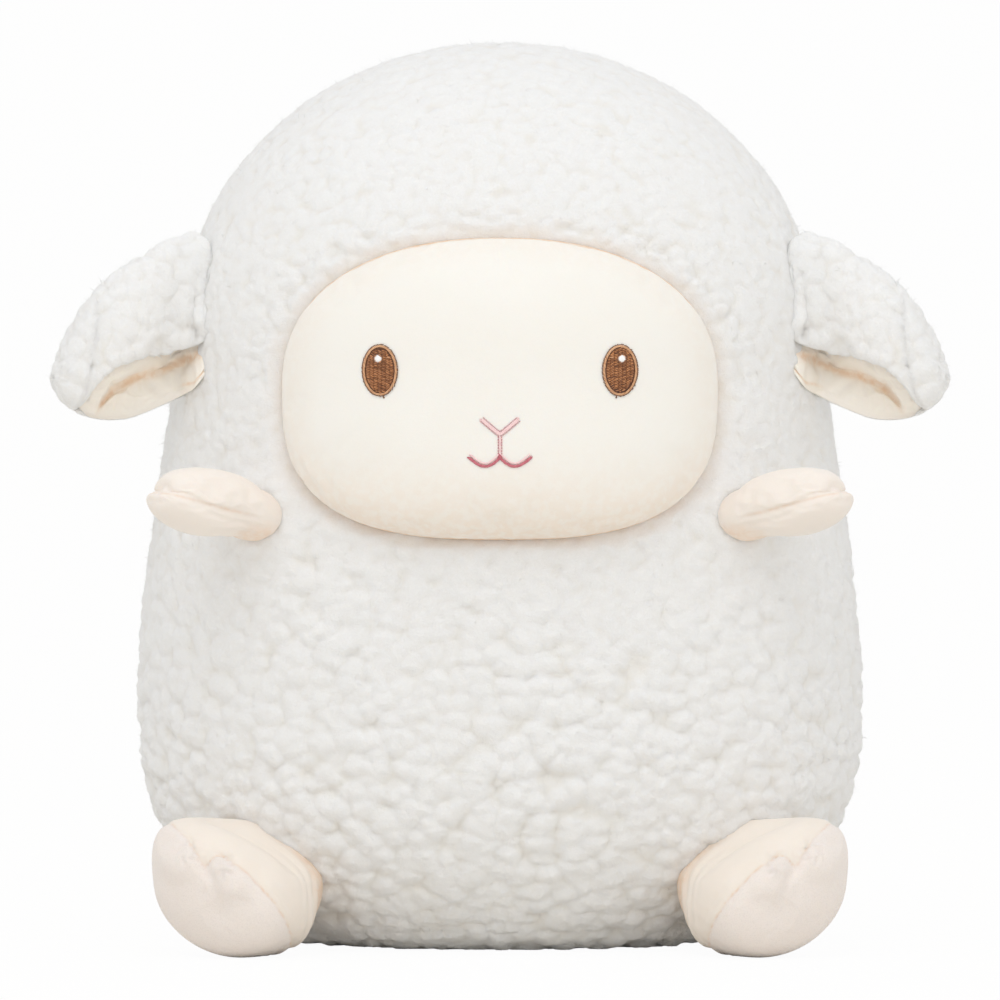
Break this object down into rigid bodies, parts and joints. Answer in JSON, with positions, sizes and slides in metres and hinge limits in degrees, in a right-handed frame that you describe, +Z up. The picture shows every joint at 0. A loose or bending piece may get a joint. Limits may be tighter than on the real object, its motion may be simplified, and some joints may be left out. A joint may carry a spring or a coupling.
{
  "type": "plush sheep",
  "caption": "Sitting plush sheep with a plump curly fleece body, smooth velvety face with stitched features, folded ears, stub arms and cloven feet.",
  "frame": {"origin": "middle of the flat base that the sheep sits on", "axes": "+Z up, -Y out of the face, +X to the sheep's own left"},
  "size_m": [0.3948, 0.2568, 0.393],
  "materials": {
    "fleece": "curly off-white fleece pile",
    "face_cloth": "smooth cream short-pile velboa",
    "limb_cloth": "smooth cream short-pile velboa",
    "sole_cloth": "smooth warm grey-cream short-pile velboa",
    "lining_cloth": "smooth peach short-pile velboa",
    "filling": "white polyester fibre filling",
    "brown_thread": "brown embroidery thread, slightly shiny",
    "tan_thread": "tan embroidery thread, slightly shiny",
    "white_thread": "white embroidery thread, slightly shiny",
    "pink_thread": "pink embroidery thread, slightly shiny"
  },
  "bodies": {
    "body": {"body_filling": "filling", "front_panel": "fleece", "back_panel_left": "fleece", "back_panel_right": "fleece", "base_panel": "fleece", "face_panel": "face_cloth", "eye_left_outline": "tan_thread", "eye_left_fill": "brown_thread", "eye_left_glint": "white_thread", "eye_right_outline": "tan_thread", "eye_right_fill": "brown_thread", "eye_right_glint": "white_thread", "nose_stitching": "pink_thread", "lip_stitching": "pink_thread", "mouth_stitching": "pink_thread"},
    "arm_left": {"arm_left_upper_panel": "limb_cloth", "arm_left_lower_panel": "limb_cloth", "arm_left_filling": "filling"},
    "arm_right": {"arm_right_upper_panel": "limb_cloth", "arm_right_lower_panel": "limb_cloth", "arm_right_filling": "filling"},
    "foot_left": {"foot_left_upper_panel": "limb_cloth", "foot_left_sole_panel": "sole_cloth", "foot_left_filling": "filling"},
    "foot_right": {"foot_right_upper_panel": "limb_cloth", "foot_right_sole_panel": "sole_cloth", "foot_right_filling": "filling"},
    "ear_left": {"ear_left_outer": "fleece", "ear_left_lining": "lining_cloth"},
    "ear_right": {"ear_right_outer": "fleece", "ear_right_lining": "lining_cloth"}
  },
  "joints": [
    {"name": "arm_left_lift", "type": "hinge", "parent": "body", "child": "arm_left", "pos_m": [0.10844, -0.09149, 0.1915], "axis": [-0.6272, -0.7789, 0], "range_deg": [-30, 30], "stiffness_Nm_per_rad": 0.06},
    {"name": "arm_right_lift", "type": "hinge", "parent": "body", "child": "arm_right", "pos_m": [-0.10844, -0.09149, 0.1915], "axis": [-0.6272, 0.7789, 0], "range_deg": [-30, 30], "stiffness_Nm_per_rad": 0.06},
    {"name": "foot_left_tilt", "type": "hinge", "parent": "body", "child": "foot_left", "pos_m": [0.10499, -0.08547, 0.0303], "axis": [-0.8211, -0.5708, 0], "range_deg": [-15, 10], "stiffness_Nm_per_rad": 0.15},
    {"name": "foot_right_tilt", "type": "hinge", "parent": "body", "child": "foot_right", "pos_m": [-0.10499, -0.08547, 0.0303], "axis": [-0.8211, 0.5708, 0], "range_deg": [-15, 10], "stiffness_Nm_per_rad": 0.15},
    {"name": "ear_left_swing", "type": "hinge", "parent": "body", "child": "ear_left", "pos_m": [0.13731, -0.03623, 0.28097], "axis": [-0.1675, 0.0432, 0.9849], "range_deg": [-45, 35], "stiffness_Nm_per_rad": 0.04},
    {"name": "ear_right_swing", "type": "hinge", "parent": "body", "child": "ear_right", "pos_m": [-0.13731, -0.03623, 0.28097], "axis": [-0.1675, -0.0432, -0.9849], "range_deg": [-45, 35], "stiffness_Nm_per_rad": 0.04}
  ]
}
